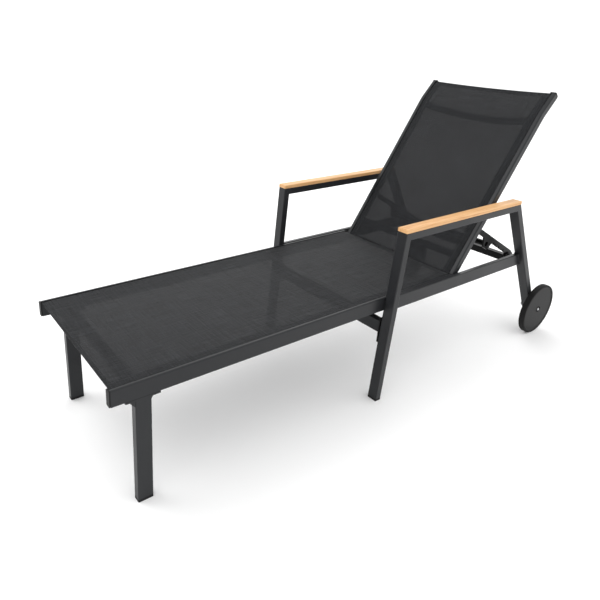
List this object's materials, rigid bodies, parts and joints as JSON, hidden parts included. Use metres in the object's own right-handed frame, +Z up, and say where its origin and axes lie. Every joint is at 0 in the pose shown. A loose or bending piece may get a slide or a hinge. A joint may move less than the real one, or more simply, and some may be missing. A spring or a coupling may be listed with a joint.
{
  "type": "sun lounger",
  "caption": "Reclining sun lounger with sling seat and backrest, arm frames with wooden slats, notched prop arms and two wheels.",
  "frame": {"origin": "on the floor, at the middle of the overall length and width", "axes": "+X from the foot end to the head end, +Z up, +Y completes the right-handed set; left is the -Y side"},
  "size_m": [1.9912, 0.653, 0.9806],
  "materials": {
    "frame_paint": "graphite powder coat, satin",
    "sling": "woven mesh of coated yarn, matt",
    "wood": "oiled teak, satin",
    "plastic": "black moulded plastic",
    "mechanism": "black coated steel plate",
    "fasteners": "zinc plated steel",
    "wheel": "dark grey moulded plastic",
    "tyre": "soft black rubber"
  },
  "bodies": {
    "frame": {"arm_front_leg_left": "frame_paint", "arm_front_leg_right": "frame_paint", "arm_leg_feet": "plastic", "arm_rear_leg_left": "frame_paint", "arm_rear_leg_right": "frame_paint", "arm_top_tube_left": "frame_paint", "arm_top_tube_right": "frame_paint", "armrest_screws": "fasteners", "armrest_slat_left": "wood", "armrest_slat_right": "wood", "axle_nuts": "fasteners", "axle_spacers": "plastic", "catch_lugs": "mechanism", "catch_rods": "mechanism", "corner_plates": "frame_paint", "foot_crossbar": "frame_paint", "frame_bolts": "fasteners", "front_leg_feet": "plastic", "front_leg_left": "frame_paint", "front_leg_right": "frame_paint", "hinge_bolts": "fasteners", "hinge_bushes": "plastic", "hub_caps": "fasteners", "leg_bolts": "fasteners", "leg_pads": "plastic", "mid_crossbar": "frame_paint", "rail_foot_caps": "plastic", "rail_rear_caps": "plastic", "rear_crossbar": "frame_paint", "rear_leg_plugs": "plastic", "seat_rail_left": "frame_paint", "seat_rail_right": "frame_paint", "seat_sling": "sling", "seat_spline_left": "plastic", "seat_spline_right": "plastic", "stretcher_left": "frame_paint", "stretcher_right": "frame_paint", "tie_bolts": "fasteners", "tie_plates": "mechanism", "wheel_axles": "fasteners"},
    "backrest": {"back_low_bar": "frame_paint", "back_low_caps": "plastic", "back_sling": "sling", "back_spline_left": "plastic", "back_spline_right": "plastic", "back_top_caps": "plastic", "backrest_rail_left": "frame_paint", "backrest_rail_right": "frame_paint", "headrest_bar": "frame_paint", "prop_pivots": "mechanism"},
    "prop": {"prop_arm_left": "mechanism", "prop_arm_right": "mechanism", "prop_tie_rod": "mechanism"},
    "wheel_left": {"wheel_disc_left": "wheel", "wheel_tyre_left": "tyre", "wheel_bush_left": "plastic"},
    "wheel_right": {"wheel_disc_right": "wheel", "wheel_tyre_right": "tyre", "wheel_bush_right": "plastic"}
  },
  "joints": [
    {"name": "backrest_recline", "type": "hinge", "parent": "frame", "child": "backrest", "pos_m": [0.32643, 0, 0.355], "axis": [0, 1, 0], "range_deg": [0, 55.5]},
    {"name": "prop_swing", "type": "hinge", "parent": "backrest", "child": "prop", "pos_m": [0.43604, 0, 0.52705], "axis": [0, 1, 0], "range_deg": [-84.2, 0]},
    {"name": "wheel_left_spin", "type": "hinge", "parent": "frame", "child": "wheel_left", "pos_m": [0.88857, -0.3155, 0.107], "axis": [0, 1, 0], "continuous": true},
    {"name": "wheel_right_spin", "type": "hinge", "parent": "frame", "child": "wheel_right", "pos_m": [0.88857, 0.3155, 0.107], "axis": [0, 1, 0], "continuous": true}
  ],
  "couplings": [
    {"joint": "prop_swing", "follows": "backrest_recline", "ratio": -1.5156}
  ]
}
